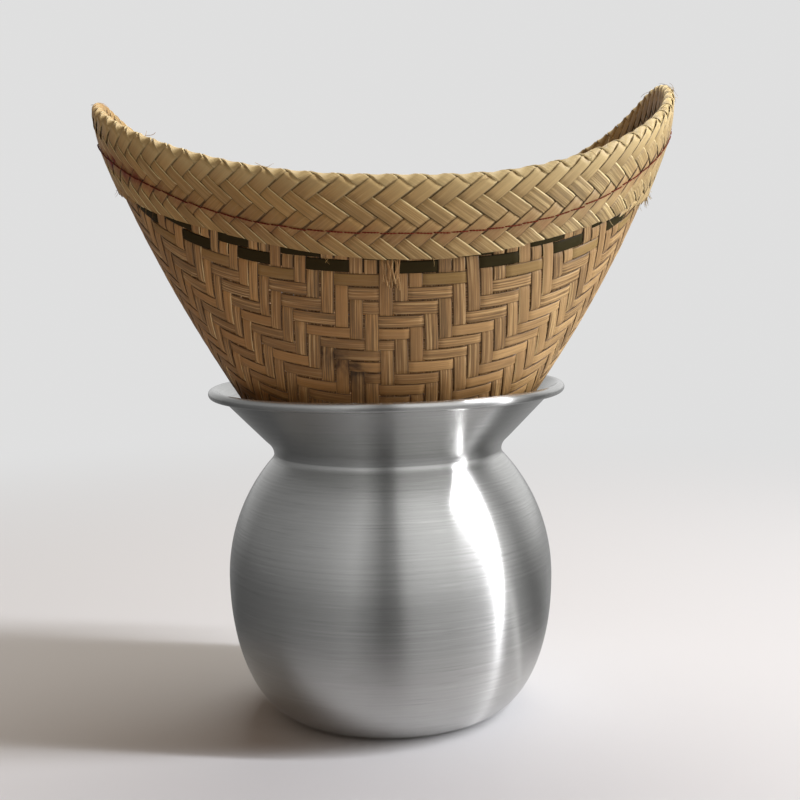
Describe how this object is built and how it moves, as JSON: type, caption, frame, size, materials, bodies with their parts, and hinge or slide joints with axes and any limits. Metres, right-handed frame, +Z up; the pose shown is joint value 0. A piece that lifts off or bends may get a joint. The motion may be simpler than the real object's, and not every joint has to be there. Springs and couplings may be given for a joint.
{
  "type": "sticky rice steamer",
  "caption": "Spun aluminium pot with a flared neck, holding a conical plaited bamboo basket with a saddle-shaped rim for steaming sticky rice.",
  "frame": {"origin": "middle of the pot's flat base, on the surface that it stands on", "axes": "+Z up along the pot's axis of turning; X along the basket's long way, through its two high tips, +X towards the slightly higher tip; -Y is the side that the picture shows"},
  "size_m": [0.346, 0.2486, 0.3843],
  "materials": {
    "aluminium": "spun, fine turning lines, satin",
    "wall_bamboo": "split bamboo strips in twill, dry and matt",
    "band_bamboo": "pale split bamboo, plaited, faint sheen",
    "bamboo_skin": "dark green outer skin of bamboo, slightly waxy",
    "red_thread": "twisted thread"
  },
  "bodies": {
    "pot": {"pot_body": "aluminium"},
    "basket": {"basket_wall": "wall_bamboo", "rim_band": "band_bamboo", "dark_course_front_upper": "bamboo_skin", "dark_course_front_lower": "bamboo_skin", "dark_course_back_upper": "bamboo_skin", "dark_course_back_lower": "bamboo_skin", "stitch_thread_outer": "red_thread", "stitch_thread_inner": "red_thread"}
  },
  "joints": [
    {"name": "basket_lift", "type": "slide", "parent": "pot", "child": "basket", "axis": [0, 0, 1], "range_m": [0, 0.16]}
  ]
}
